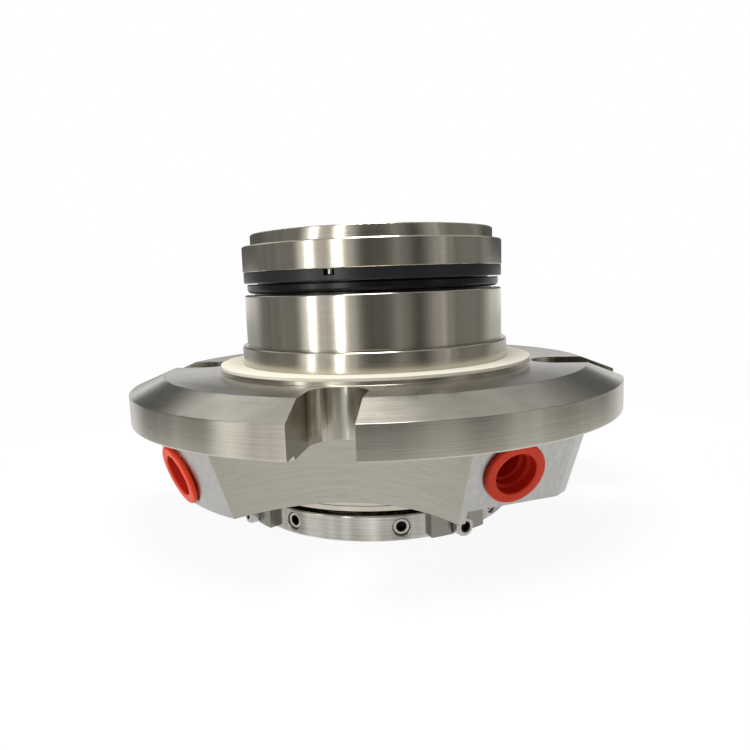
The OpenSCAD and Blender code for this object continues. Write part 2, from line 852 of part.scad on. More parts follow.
module inboard_springs() {
    color("silver")
        for (i = [0 : spring_count - 1])
            rotate([0, 0, i * 360 / spring_count])
                translate([spring_r, 0, 0])
                    coil(shelf_z - spring_pocket, thrust_z);
}

module outboard_springs() {
    color("silver")
        for (i = [0 : spring_count - 1])
            rotate([0, 0, i * 360 / spring_count])
                translate([spring_r, 0, 0])
                    coil(outboard_back_z, holder_z + spring_pocket);
}

shaft_sleeve();
shaft_oring();
inboard_rotary_face();
inboard_face_oring();
face_drive_pins();
rotary_holder();
holder_grub_screws();
holder_drive_pins();
outboard_springs();
lock_collar();
collar_grub_screws();
setting_clip_1();
setting_clip_2();
setting_clip_3();
setting_clip_4();
clip_screws();
outboard_rotary_face();
outboard_face_oring();
gland_plate();
stator_barrel();
gland_gasket();
barrel_oring();
barrel_dowel();
stator_pins();
inboard_springs();
inboard_stationary_face();
inboard_stator_oring();
thrust_ring();
outboard_seat();
outboard_seat_oring();
seat_pin();
cover_ring();
port_plug_1();
port_plug_2();
port_plug_3();
port_plug_4();
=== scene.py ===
# %% [markdown]
# A double cartridge mechanical seal stands on its lock collar, pump side up. This lesson dresses the
# measured solids: it loads them, makes the steel, carbon and plastic finishes, works out the small
# pieces as surfaces, and lights the seal like a product on a white table.

# %% Load the measured solids
import json
import math

import bmesh
import bpy
import numpy as np
from mathutils import Matrix, Vector


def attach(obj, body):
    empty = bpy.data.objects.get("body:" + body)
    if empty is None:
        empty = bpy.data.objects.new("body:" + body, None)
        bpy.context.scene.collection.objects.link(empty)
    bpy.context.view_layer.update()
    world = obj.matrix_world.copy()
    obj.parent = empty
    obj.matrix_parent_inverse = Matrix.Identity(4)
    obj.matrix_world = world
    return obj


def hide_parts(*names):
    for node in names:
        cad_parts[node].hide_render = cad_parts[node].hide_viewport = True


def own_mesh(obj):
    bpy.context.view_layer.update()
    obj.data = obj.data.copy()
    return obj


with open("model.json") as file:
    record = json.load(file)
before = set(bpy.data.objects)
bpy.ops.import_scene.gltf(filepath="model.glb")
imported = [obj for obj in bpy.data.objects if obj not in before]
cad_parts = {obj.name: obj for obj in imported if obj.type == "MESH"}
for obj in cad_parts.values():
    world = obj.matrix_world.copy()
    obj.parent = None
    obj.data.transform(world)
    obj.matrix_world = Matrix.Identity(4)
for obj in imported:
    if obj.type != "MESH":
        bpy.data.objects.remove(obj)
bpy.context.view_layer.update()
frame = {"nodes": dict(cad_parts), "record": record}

MM = 0.001
scene = bpy.context.scene
scene.view_settings.view_transform = "Standard"


# %% [markdown]
# The camera stands 27 cm from the shaft and 9 cm above the table. It looks down by eight degrees and
# leans by two, as it was held for the picture. The seal's round edges give these values. A camera could
# be aimed with a constraint, but a matrix keeps the small lean exactly.

# %% Place the camera
# The swing round the shaft, the distance and height in millimetres, and the angles of the look
CAMERA_TURN = math.radians(9.6)
CAMERA_DISTANCE = 271.45
CAMERA_HEIGHT = 89.14
LOOK_DOWN = 0.1404
LOOK_ASIDE = -0.0012
LEAN = 0.0349


def camera_matrix():
    """Look forward and down, lean about that line, then swing the whole stand round the shaft."""
    forward = np.array([
        math.sin(LOOK_ASIDE) * math.cos(LOOK_DOWN),
        math.cos(LOOK_ASIDE) * math.cos(LOOK_DOWN),
        -math.sin(LOOK_DOWN),
    ])
    right = np.array([math.cos(LOOK_ASIDE), -math.sin(LOOK_ASIDE), 0.0])
    down = np.cross(forward, right)
    across = math.cos(LEAN) * right + math.sin(LEAN) * down
    upward = math.sin(LEAN) * right - math.cos(LEAN) * down
    stand = Matrix(np.column_stack([across, upward, -forward]).tolist()).to_4x4()
    stand.translation = Vector((0.0, -CAMERA_DISTANCE, CAMERA_HEIGHT)) * MM
    return Matrix.Rotation(CAMERA_TURN, 4, "Z") @ stand


lens = bpy.data.cameras.new("camera")
lens.sensor_width = 36.0
lens.lens = 32.22
lens.clip_start = 0.005
camera = bpy.data.objects.new("camera", lens)
camera.matrix_world = camera_matrix()
scene.collection.objects.link(camera)
scene.camera = camera
print("camera at", [round(value / MM, 1) for value in camera.location])

# %% [markdown]
# A material is a small circuit of nodes. A few helpers keep it readable: one adds a node and fills its
# sockets, and others do a sum, mix two colours or make noise. Every finish here joins a colour, a
# roughness and a relief to one Principled shader, so that is a helper too.

# %% Helpers for material nodes


def add(tree, kind, inputs=None, **settings):
    """Add a node, set its options, and fill each socket with a number or with another node's output."""
    node = tree.nodes.new(kind)
    for key, value in settings.items():
        setattr(node, key, value)
    for key, value in (inputs or {}).items():
        if isinstance(value, bpy.types.NodeSocket):
            tree.links.new(value, node.inputs[key])
        else:
            node.inputs[key].default_value = value
    return node


def calc(tree, operation, first, second=0.0, third=0.0):
    """One sum: operation applied to first, second and third."""
    return add(tree, "ShaderNodeMath", {0: first, 1: second, 2: third}, operation=operation).outputs[0]


def blend_colour(tree, share, low, high, blend="MIX"):
    """The colour low where share is 0 and high where it is 1, and the mix between."""
    node = add(tree, "ShaderNodeMix", {0: share, 6: low, 7: high}, data_type="RGBA", blend_type=blend)
    return node.outputs[2]


def noise(tree, place, scale, detail, roughness=0.5):
    """Noise from 0 to 1 at a place: scale spots to a unit, and detail ever finer layers on them."""
    sockets = {"Vector": place, "Scale": scale, "Detail": detail, "Roughness": roughness}
    return add(tree, "ShaderNodeTexNoise", sockets).outputs[0]


def paint(red, green, blue):
    """A screen colour from 0 to 255, turned into linear light with an alpha of 1."""
    channel = np.array([red, green, blue]) / 255.0
    linear = np.where(channel <= 0.04045, channel / 12.92, ((channel + 0.055) / 1.055) ** 2.4)
    return (*linear.tolist(), 1.0)


print("node helpers ready")

# %% Helpers for whole materials


def bare_material(name):
    """A material with nothing in it, and its tree of nodes."""
    material = bpy.data.materials.new(name)
    material.use_nodes = True
    material.node_tree.nodes.clear()
    return material, material.node_tree


def new_material(name):
    """A material with one Principled shader joined to its output."""
    material, tree = bare_material(name)
    shader = add(tree, "ShaderNodeBsdfPrincipled")
    add(tree, "ShaderNodeOutputMaterial", {"Surface": shader.outputs[0]})
    return material, tree, shader


def dress(tree, shader, colour, rough, relief, strength, depth):
    """Join a colour and a roughness, and tilt the light by a relief that is depth metres deep."""
    tree.links.new(colour, shader.inputs["Base Color"])
    tree.links.new(rough, shader.inputs["Roughness"])
    bump = add(tree, "ShaderNodeBump", {"Strength": strength, "Distance": depth, "Height": relief})
    tree.links.new(bump.outputs[0], shader.inputs["Normal"])


def brush(tree, shader, tangent, stretch):
    """Make it a metal whose highlights spread across the tangent, by a stretch from 0 to 1."""
    tree.links.new(tangent, shader.inputs["Tangent"])
    shader.inputs["Metallic"].default_value = 1.0
    shader.inputs["Anisotropic"].default_value = stretch
    shader.inputs["Anisotropic Rotation"].default_value = 0.25


print("material helpers ready")

# %% [markdown]
# Turned steel carries fine rings round the shaft. They spread a highlight along the shaft and keep it
# narrow round it, which draws the upright bright and dark bands. The shader's anisotropy does this
# when its tangent runs round the shaft: (-y, x, 0). The rings themselves are noise read on the radius
# and the height instead of on x, y and z.

# %% Turned steel
# Rings to a metre, how fast they change round the shaft, and the scale of the slow painted reflection
# bands, equal at every height
RINGS = 4500.0
RING_DRIFT = 2.5
SHEEN_BAND_SCALE = (70.0, 70.0, 0.0)


def round_the_shaft(tree, place):
    """Radius, height and angle of a place about the shaft."""
    parts = add(tree, "ShaderNodeSeparateXYZ", {0: place}).outputs
    flat = add(tree, "ShaderNodeCombineXYZ", {"X": parts[0], "Y": parts[1]}).outputs[0]
    radius = add(tree, "ShaderNodeVectorMath", {0: flat}, operation="LENGTH").outputs["Value"]
    return radius, parts[2], calc(tree, "ARCTAN2", parts[1], parts[0])


def shaft_tangent(tree, place):
    """The direction that runs round the shaft at a place, (-y, x, 0), turned with its piece."""
    parts = add(tree, "ShaderNodeSeparateXYZ", {0: place}).outputs
    minus_y = calc(tree, "MULTIPLY", parts[1], -1.0)
    along = add(tree, "ShaderNodeCombineXYZ", {"X": minus_y, "Y": parts[0]}).outputs[0]
    spaces = {"vector_type": "VECTOR", "convert_from": "OBJECT", "convert_to": "WORLD"}
    return add(tree, "ShaderNodeVectorTransform", {0: along}, **spaces).outputs[0]


def turned_steel(name, dark, light, roughness=0.2, stretch=0.74, sheen_bands=0.0):
    """Steel with turning rings: noise on radius, height and angle roughens and lifts it. Its tint is
    0.7 rings + 0.3 cloud, and slow noise that is equal at every height adds painted reflection bands
    (bands - 0.5) to it."""
    material, tree, shader = new_material(name)
    place = add(tree, "ShaderNodeTexCoord").outputs["Object"]
    radius, height, angle = round_the_shaft(tree, place)
    lay = add(tree, "ShaderNodeCombineXYZ", {
        "X": calc(tree, "MULTIPLY", radius, RINGS),
        "Y": calc(tree, "MULTIPLY", height, RINGS),
        "Z": calc(tree, "MULTIPLY", angle, RING_DRIFT),
    }).outputs[0]
    rings = noise(tree, lay, 1.0, 3.0, 0.6)
    cloud = noise(tree, place, 60.0, 2.0)
    tint = calc(tree, "MULTIPLY_ADD", rings, 0.7, calc(tree, "MULTIPLY", cloud, 0.3))
    # Painted reflection bands: slow noise, the same at every height, draws upright light and dark stripes
    if sheen_bands:
        flat = add(tree, "ShaderNodeVectorMath", {0: place, 1: SHEEN_BAND_SCALE}, operation="MULTIPLY").outputs[0]
        sheen_noise = noise(tree, flat, 1.0, 2.0)
        tint = calc(tree, "ADD", tint, calc(tree, "MULTIPLY_ADD", sheen_noise, sheen_bands, -0.5 * sheen_bands))
    colour = blend_colour(tree, tint, paint(*dark), paint(*light))
    rough = calc(tree, "MULTIPLY_ADD", rings, 0.08, roughness - 0.04)
    dress(tree, shader, colour, rough, rings, 0.2, 0.00003)
    brush(tree, shader, shaft_tangent(tree, place), stretch)
    return material


barrel_steel = turned_steel("turned_steel", (178, 172, 158), (206, 201, 187))
# The flange and the collar carry painted reflection bands, the collar's much stronger
flange_steel = turned_steel("flange_steel", (162, 157, 145), (213, 209, 195), 0.24, sheen_bands=0.9)
collar_steel = turned_steel("collar_steel", (86, 82, 74), (216, 213, 204), 0.18, sheen_bands=2.4)
clip_steel = turned_steel("clip_steel", (114, 111, 102), (154, 151, 142), 0.3, stretch=0.4)
spring_steel = turned_steel("spring_steel", (176, 175, 171), (208, 207, 203), 0.3, stretch=0.2)
print("turned:", [m.name for m in (barrel_steel, flange_steel, collar_steel, clip_steel, spring_steel)])

# %% [markdown]
# A milling tool leaves straight marks. They could be drawn as lines, but noise that is drawn out along
# one direction looks less regular. On an upright wall the highlight then spreads up and down.

# %% Milled steel
# How the marks are drawn out: level, upright, more upright still, or the same every way
LEVEL_MARKS = (0.08, 0.08, 1.0)
UPRIGHT_MARKS = (1.0, 1.0, 0.1)
STEEP_MARKS = (1.0, 1.0, 0.05)
EVEN_MARKS = (1.0, 1.0, 1.0)


def milled_steel(name, dark, light, direction, roughness=0.3, marks=1400.0, stretch=0.5):
    """Steel with parallel marks: noise drawn out along a direction tints, roughens and lifts it.
    The tangent is the level line of the wall, normal x up, so highlights spread up and down it."""
    material, tree, shader = new_material(name)
    place = add(tree, "ShaderNodeTexCoord").outputs["Object"]
    drawn = add(tree, "ShaderNodeMapping", {"Vector": place, "Scale": direction}).outputs[0]
    mark = noise(tree, drawn, marks, 3.0, 0.65)
    colour = blend_colour(tree, mark, paint(*dark), paint(*light))
    rough = calc(tree, "MULTIPLY_ADD", mark, 0.2, roughness - 0.1)
    dress(tree, shader, colour, rough, mark, 0.18, 0.00004)
    facing = add(tree, "ShaderNodeNewGeometry").outputs["Normal"]
    upright = {0: facing, 1: (0.0, 0.0, 1.0)}
    level = add(tree, "ShaderNodeVectorMath", upright, operation="CROSS_PRODUCT").outputs[0]
    brush(tree, shader, level, stretch)
    return material


screw_steel = milled_steel("screw_steel", (150, 148, 142), (205, 203, 197), EVEN_MARKS, stretch=0.1)
scallop_steel = milled_steel("scallop_steel", (150, 146, 135), (186, 182, 171), LEVEL_MARKS, marks=1200.0)
port_steel = milled_steel("port_steel", (150, 149, 146), (200, 199, 195), UPRIGHT_MARKS, 0.34, marks=800.0)
slot_steel = milled_steel("slot_steel", (172, 167, 155), (214, 209, 196), STEEP_MARKS, 0.22)
# Darker steel for the slots' flat walls: painted shade inside the slot
shaded_wall_steel = milled_steel("shaded_wall_steel", (128, 124, 111), (164, 160, 147), STEEP_MARKS, 0.22)
# Nearly black steel for the screws' sockets: painted shade in the recess
shaded_socket_steel = milled_steel("shaded_socket_steel", (38, 36, 34), (62, 60, 56), EVEN_MARKS, 0.5, stretch=0.0)
print("milled:", [m.name for m in (scallop_steel, port_steel, slot_steel, shaded_wall_steel, screw_steel)])

# %% [markdown]
# The seal faces are hard and nearly black: one of silicon carbide with a grey satin look, one of
# carbon. The gasket is pressed from white fibre, the rings are moulded rubber, and the plugs are soft
# red plastic, which lets a little light in. The hollow of a plug is painted a deeper red, as painted
# shade.

# %% Dark faces, gasket, rubber and plastic


def ground_face(name, dark, light, roughness, shine=0.5, milky=0.0):
    """A dense material: fine grain in colour and in roughness, with hardly any relief. Shine is how
    strongly it mirrors, and milky is the share of light that wanders under the surface."""
    material, tree, shader = new_material(name)
    place = add(tree, "ShaderNodeTexCoord").outputs["Object"]
    grain = noise(tree, place, 2200.0, 4.0, 0.7)
    colour = blend_colour(tree, grain, paint(*dark), paint(*light))
    rough = calc(tree, "MULTIPLY_ADD", grain, 0.12, roughness - 0.06)
    dress(tree, shader, colour, rough, grain, 0.15, 0.00002)
    shader.inputs["Specular IOR Level"].default_value = shine
    if milky:
        shader.inputs["Subsurface Weight"].default_value = milky
        shader.inputs["Subsurface Radius"].default_value = (1.0, 0.25, 0.15)
        shader.inputs["Subsurface Scale"].default_value = 0.0012
    return material


dark_carbide = ground_face("dark_carbide", (34, 35, 38), (46, 47, 50), 0.3, shine=0.3)
black_carbon = ground_face("black_carbon", (12, 12, 13), (20, 20, 21), 0.26, shine=0.3)
black_rubber = ground_face("black_rubber", (24, 24, 24), (36, 36, 36), 0.55)
gasket_white = ground_face("gasket_white", (238, 231, 212), (248, 243, 228), 0.75)
red_plastic = ground_face("red_plastic", (236, 56, 18), (248, 70, 26), 0.45, shine=0.35, milky=0.06)
# A deeper red for the plug's hollow: painted shade in the cup
red_shaded_hollow = ground_face("red_shaded_hollow", (196, 34, 14), (212, 44, 18), 0.4, shine=0.35)
print("other finishes:", dark_carbide.name, black_carbon.name, gasket_white.name, red_plastic.name)

# %% [markdown]
# Every solid first gets the finish of its slot. The record says which slot and which moving body each
# solid belongs to.

# %% Give each solid its finish
SLOT_FINISH = {
    "turned_steel": barrel_steel,
    "flange_steel": flange_steel,
    "collar_steel": collar_steel,
    "clip_steel": clip_steel,
    "screw_steel": screw_steel,
    "spring_steel": spring_steel,
    "dark_carbide": dark_carbide,
    "black_carbon": black_carbon,
    "gasket_white": gasket_white,
    "black_rubber": black_rubber,
    "red_plastic": red_plastic,
}
NODE_SLOT = {row["node"]: row["material_slot"] for row in frame["record"]["subparts"]}
NODE_BODY = {
    node: body
    for body, nodes in frame["record"]["behaviour"]["bodies"].items()
    for node in nodes
}
for name, solid in frame["nodes"].items():
    solid.data.materials.clear()
    solid.data.materials.append(SLOT_FINISH[NODE_SLOT[name]])
print("finished solids:", len(frame["nodes"]))

# %% [markdown]
# A solid arrives as loose triangles with flat shading, so a big turned part would show facets in its
# reflections. A merged copy with smooth shading, kept sharp only at real edges, stands for it. The
# three parts with large sharp edges are filed a little, with a Bevel modifier, so that the edges catch
# the light.

# %% Smooth copies of the solids
# Largest angle in degrees between faces that count as one flat face, and that shade as one surface
FLAT_WITHIN = 0.4
TURNED_CREASE = 14.0


def merged_mesh(node):
    """A copy of a solid's mesh with its doubled points merged and its flat faces made whole."""
    mesh = frame["nodes"][node].data.copy()
    mesh.name = node + "_smooth"
    shape = bmesh.new()
    shape.from_mesh(mesh)
    bmesh.ops.remove_doubles(shape, verts=shape.verts, dist=0.000002)
    limit = math.radians(FLAT_WITHIN)
    bmesh.ops.dissolve_limit(shape, angle_limit=limit, verts=shape.verts, edges=shape.edges, delimit=set())
    shape.to_mesh(mesh)
    shape.free()
    return mesh


def shade_smooth(mesh, crease):
    """Shade every face smoothly, and keep an edge sharp where it turns by more than the crease."""
    mesh.polygons.foreach_set("use_smooth", np.ones(len(mesh.polygons), dtype=bool))
    mesh.set_sharp_from_angle(angle=math.radians(crease))


def new_piece(name, mesh, node):
    """Put a mesh into the scene to stand for a solid, hide the solid, and put the piece on its body."""
    piece = bpy.data.objects.new(name, mesh)
    scene.collection.objects.link(piece)
    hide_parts(node)
    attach(piece, NODE_BODY[node])
    return piece


def file_edges(piece, width):
    """Take width millimetres off the sharp edges and leave the shading of the faces alone."""
    filed = piece.modifiers.new("filed_edges", "BEVEL")
    filed.width = width * MM
    filed.segments = 2
    filed.limit_method = "ANGLE"
    filed.angle_limit = math.radians(15.0)
    filed.harden_normals = True
    filed.use_clamp_overlap = False


print("helpers for copies ready")

# %% Make the smooth copies
MADE_ANEW = [
    "collar_grub_screws", "clip_screws", "inboard_springs", "outboard_springs",
    "port_plug_1", "port_plug_2", "port_plug_3", "port_plug_4",
]
FILED = {"gland_plate": 0.2, "lock_collar": 0.15, "stator_barrel": 0.15}
smooth = {}
for node in sorted(frame["nodes"]):
    if node not in MADE_ANEW:
        mesh = merged_mesh(node)
        shade_smooth(mesh, TURNED_CREASE)
        smooth[node] = new_piece(node + "_smooth", mesh, node)
for node, width in FILED.items():
    file_edges(smooth[node], width)
print("smooth copies:", {node: len(piece.data.polygons) for node, piece in smooth.items()})

# %% [markdown]
# The gland plate is turned first and milled after, so its faces carry different marks. Each face's own
# direction and place say which tool made it: the port flats and the cone between them, the scallops,
# and the round ends and the flat walls of the slots. The flat walls of the slots are painted darker, as
# painted shade inside the slots.

# %% Faces and ports of the gland plate
# Millimetres: the boss's lower face above the table, its height, and the shoulder the cutter left
BOSS_Z = 14.5
BOSS_H = 25.6
SHOULDER_H = 1.4
SHOULDER_Z = BOSS_Z + BOSS_H - SHOULDER_H
# How far the ports look down, and the turn of each round the shaft in degrees
PORT_SLANT = math.radians(18.0)
PORT_TURNS = (-59.0, -135.0, 121.0, 45.0)


def face_table(mesh):
    """Normal and centre of every face, as two arrays, the centres in millimetres."""
    count = len(mesh.polygons)
    normals = np.empty(count * 3)
    centres = np.empty(count * 3)
    mesh.polygons.foreach_get("normal", normals)
    mesh.polygons.foreach_get("center", centres)
    return normals.reshape(-1, 3), centres.reshape(-1, 3) / MM


def port_directions():
    """The direction in which each port looks: outwards at its turn, and down by the slant."""
    turn = np.radians(PORT_TURNS)
    level = math.cos(PORT_SLANT)
    return np.column_stack([np.cos(turn) * level, np.sin(turn) * level, np.full(4, -math.sin(PORT_SLANT))])


plate = smooth["gland_plate"]
normals, centres = face_table(plate.data)
print("faces of the gland plate:", len(normals))

# %% Sort those faces by tool
# Millimetres from the axis past which a face is outside, on the boss and in a slot
BOSS_OUTSIDE = 50.0
SLOT_OUTSIDE = 55.0

from_axis = np.hypot(centres[:, 0], centres[:, 1])
above_foot = centres[:, 2]
looks_out = (normals[:, 0] * centres[:, 0] + normals[:, 1] * centres[:, 1]) / from_axis
on_boss = (above_foot > BOSS_Z + 0.1) & (above_foot < SHOULDER_Z - 0.05)
outside = from_axis > BOSS_OUTSIDE
on_port = (normals @ port_directions().T).max(axis=1) > 0.9995
on_cone = (np.abs(normals[:, 2] + math.sin(PORT_SLANT)) < 0.02) & (looks_out > 0.94)
upright = (np.abs(normals[:, 2]) < 0.01) & (above_foot > SHOULDER_Z - 0.1)
in_slot = upright & (looks_out < 0.9) & (from_axis > SLOT_OUTSIDE)
shaded_flat_wall = looks_out < -0.08
index = np.zeros(len(normals), dtype=np.int32)
index[on_boss & outside & ~on_port & ~on_cone] = 1
index[(on_port | (on_cone & on_boss)) & outside] = 2
index[in_slot] = 3
# The slots' flat walls get the darker steel: painted shade
index[in_slot & shaded_flat_wall] = 4
for milled in (scallop_steel, port_steel, slot_steel, shaded_wall_steel):
    plate.data.materials.append(milled)
plate.data.polygons.foreach_set("material_index", index)
print("faces by tool:", np.bincount(index, minlength=5).tolist())

# %% [markdown]
# Small round pieces are surfaces of two parameters: an outline of radius and height, carried once
# round an axis. Real edges are never quite sharp, so every corner of the outline is rounded first.

# %% Outlines and round surfaces


def rounded(corners, cut, steps=4):
    """Round each corner of a closed outline with a curve from cut before it to cut after it:
    (1-t)^2 * before + 2t(1-t) * corner + t^2 * after."""
    corner = np.asarray(corners, dtype=float)
    before = np.roll(corner, 1, axis=0) - corner
    after = np.roll(corner, -1, axis=0) - corner
    before_long = np.linalg.norm(before, axis=1, keepdims=True)
    after_long = np.linalg.norm(after, axis=1, keepdims=True)
    start = corner + before / before_long * np.minimum(cut, before_long * 0.45)
    end = corner + after / after_long * np.minimum(cut, after_long * 0.45)
    t = np.linspace(0.0, 1.0, steps)[None, :, None]
    curve = (1 - t) ** 2 * start[:, None] + 2 * t * (1 - t) * corner[:, None] + t ** 2 * end[:, None]
    return curve.reshape(-1, 2)


def carried_round(outline, columns):
    """Point (i, j) = (r_i cos a_j, r_i sin a_j, z_i), with a_j running once round."""
    angle = np.arange(columns) * (2 * math.pi / columns)
    outline = np.asarray(outline, dtype=float)
    radius = outline[:, 0][:, None]
    height = np.repeat(outline[:, 1][:, None], columns, axis=1)
    return np.stack([radius * np.cos(angle), radius * np.sin(angle), height], axis=-1)


def grid_faces(rows, columns):
    """Corners of the face at (i, j): (i, j), (i, j+1), (i+1, j+1), (i+1, j). The columns close."""
    i = np.arange(rows - 1)[:, None]
    j = np.arange(columns)[None, :]
    after = (j + 1) % columns
    quads = np.stack([
        i * columns + j,
        i * columns + after,
        (i + 1) * columns + after,
        (i + 1) * columns + j,
    ], axis=-1)
    return quads.reshape(-1, 4)


def end_caps(rows, columns):
    """Triangles from the first and the last row to their poles, the two points after the grid."""
    pole = rows * columns
    j = np.arange(columns)
    after = (j + 1) % columns
    base = (rows - 1) * columns
    first = np.stack([np.full(columns, pole), after, j], axis=-1)
    last = np.stack([np.full(columns, pole + 1), base + j, base + after], axis=-1)
    return np.concatenate([first, last])


def repeated(faces, copies, points_each):
    """The same faces once for each copy, shifted by the number of points in one."""
    shift = np.arange(copies) * points_each
    return (shift[:, None, None] + faces).reshape(-1, faces.shape[1])


print("surface helpers ready")

# %% Pieces from arrays


def make_piece(name, points, quads, caps, node, crease=30.0):
    """Put arrays of points, quads and triangles into a mesh that stands for a solid."""
    mesh = bpy.data.meshes.new(name)
    mesh.from_pydata((points * MM).tolist(), [], quads.tolist() + caps.tolist())
    mesh.materials.append(SLOT_FINISH[NODE_SLOT[node]])
    shade_smooth(mesh, crease)
    return new_piece(name, mesh, node)


def line_hollow(piece, rows, columns, first, copies, shade_lining):
    """Give what lies inside a second, darker finish, as painted shade: the rows from first on and the cap
    at the far end.
    """
    piece.data.materials.append(shade_lining)
    quads = np.repeat(np.arange(rows - 1) >= first, columns)
    caps = np.repeat([False, True], columns)
    inside = np.concatenate([np.tile(quads, copies), np.tile(caps, copies)])
    piece.data.polygons.foreach_set("material_index", inside.astype(np.int32))


def turn_to(points, turn, radius, height, tip=90.0, aside=0.0):
    """Tip the points, by 90 degrees if their z axis shall look straight out, move them out and aside,
    and turn them round the shaft."""
    lean = math.radians(tip)
    x = points[..., 0] * math.cos(lean) + points[..., 2] * math.sin(lean) + radius
    y = points[..., 1] + aside
    z = -points[..., 0] * math.sin(lean) + points[..., 2] * math.cos(lean) + height
    spin = math.radians(turn)
    return np.stack([
        x * math.cos(spin) - y * math.sin(spin),
        x * math.sin(spin) + y * math.cos(spin),
        z,
    ], axis=-1)


print("piece helpers ready")

# %% [markdown]
# A port plug is a push-in cap moulded in one piece: a flat ring outside, and a cup whose wall steps
# inwards twice. Its outline is closed at the axis at both ends, so two poles close the surface.

# %% Places of the ports
# Millimetres: the flange's radius, how far its rim stands out over the boss, and the heights of the
# ports in the milled flats and of the radial ones
FLANGE_R = 95.0
RIM_OVERHANG = 7.0
PORT_Z = 26.8
RADIAL_Z = PORT_Z - 1.0
# How deep the seat of a flat's port and of a radial one is cut, and how far a flat's port stands aside
FLAT_DEPTH = 9.3
SEAT_DEPTH = 0.5
PORT_ASIDE = 17.2


def cone_radius(height):
    """Radius of the boss's cone: its radius at the top less the height below the top times tan(slant)."""
    return FLANGE_R - RIM_OVERHANG - (BOSS_H - (height - BOSS_Z)) * math.tan(PORT_SLANT)


# Distance of the seat from the axis, height and sideways place of the port at each of PORT_TURNS
FLAT_PORT = (cone_radius(PORT_Z) - FLAT_DEPTH, PORT_Z, PORT_ASIDE)
RADIAL_PORT = (cone_radius(RADIAL_Z) - SEAT_DEPTH, RADIAL_Z, 0.0)
port_places = [FLAT_PORT, RADIAL_PORT, FLAT_PORT, RADIAL_PORT]
print("seats:", [round(place[0], 2) for place in port_places])

# %% Four port plugs
PLUG_COLUMNS = 96
PLUG_ROUNDING = 0.28
# Radius and height of each corner, from the closed end round the ring and down into the cup
plug_corners = np.array([
    (7.4, -13.0), (7.98, -12.4), (8.48, 0.0), (10.55, 0.0), (10.85, 0.35), (10.85, 1.35), (10.4, 1.8),
    (7.8, 1.8), (7.4, 1.5), (7.34, -2.2), (6.4, -2.2), (6.34, -5.4), (5.4, -5.4), (5.34, -11.8),
])
# The last five corners, four points each, and the wall down to them are the hollow
HOLLOW_ROWS = 21

outline = rounded(plug_corners, PLUG_ROUNDING)
rows = len(outline)
poles = np.array([(0.0, 0.0, plug_corners[0, 1]), (0.0, 0.0, plug_corners[-1, 1])])
points = np.concatenate([carried_round(outline, PLUG_COLUMNS).reshape(-1, 3), poles])
quads = grid_faces(rows, PLUG_COLUMNS)
caps = end_caps(rows, PLUG_COLUMNS)
for number, (turn, (seat, height, aside)) in enumerate(zip(PORT_TURNS, port_places), 1):
    node = "port_plug_%d" % number
    placed = turn_to(points, turn, seat, height, 90.0 + math.degrees(PORT_SLANT), aside)
    plug = make_piece(node + "_moulded", placed, quads, caps, node)
    # The hollow gets the deeper red: painted shade in the cup
    line_hollow(plug, rows, PLUG_COLUMNS, rows - HOLLOW_ROWS, 1, red_shaded_hollow)
print("plugs:", len(port_places), "of", len(quads) + len(caps), "faces each")

# %% [markdown]
# A socket screw is a turned body with a hexagon pressed into its end. It is still one grid: the radius
# is the same all round until the mouth, and from there it follows a hexagon. The socket is painted
# nearly black, as painted shade in the recess.

# %% Collar screws and clip screws
SCREW_COLUMNS = 48
KEY_FLATS = 3.0


def hexagon(angle, flats):
    """Radius of a hexagon at an angle: half its width over flats / cos(angle from the nearest flat)."""
    from_flat = np.mod(angle, math.pi / 3) - math.pi / 6
    return 0.5 * flats / np.cos(from_flat)


def socket_screw(outline, mouth, floor_z):
    """The outline carried round, two hexagon rows from the mouth down to the socket's floor, and two
    poles. Also says how many rows there are and at which one the socket starts."""
    grid = carried_round(rounded(outline, 0.3, 5), SCREW_COLUMNS)
    angle = np.arange(SCREW_COLUMNS) * (2 * math.pi / SCREW_COLUMNS)
    hexagon_row = hexagon(angle, KEY_FLATS)[None, :].repeat(2, axis=0)
    depth = np.array([[mouth], [floor_z]]).repeat(SCREW_COLUMNS, axis=1)
    wall = np.stack([hexagon_row * np.cos(angle), hexagon_row * np.sin(angle), depth], axis=-1)
    rows = np.concatenate([grid, wall])
    poles = np.array([(0.0, 0.0, outline[0][1]), (0.0, 0.0, floor_z - 0.6)])
    return np.concatenate([rows.reshape(-1, 3), poles]), len(rows), len(grid) - 1


def place_screws(node, outline, mouth, floor_z, turns, seat, height):
    """One mesh of equal screws that point outwards, a copy at each turn."""
    points, rows, socket_row = socket_screw(outline, mouth, floor_z)
    placed = np.concatenate([turn_to(points, turn, seat, height) for turn in turns])
    quads = repeated(grid_faces(rows, SCREW_COLUMNS), len(turns), len(points))
    caps = repeated(end_caps(rows, SCREW_COLUMNS), len(turns), len(points))
    piece = make_piece(node + "_cut", placed, quads, caps, node)
    # The sockets get the nearly black steel: painted shade in the recess
    line_hollow(piece, rows, SCREW_COLUMNS, socket_row, len(turns), shaded_socket_steel)
    return len(quads) + len(caps)


print("screw helpers ready")

# %% Place the screws
COLLAR_R = 51.7
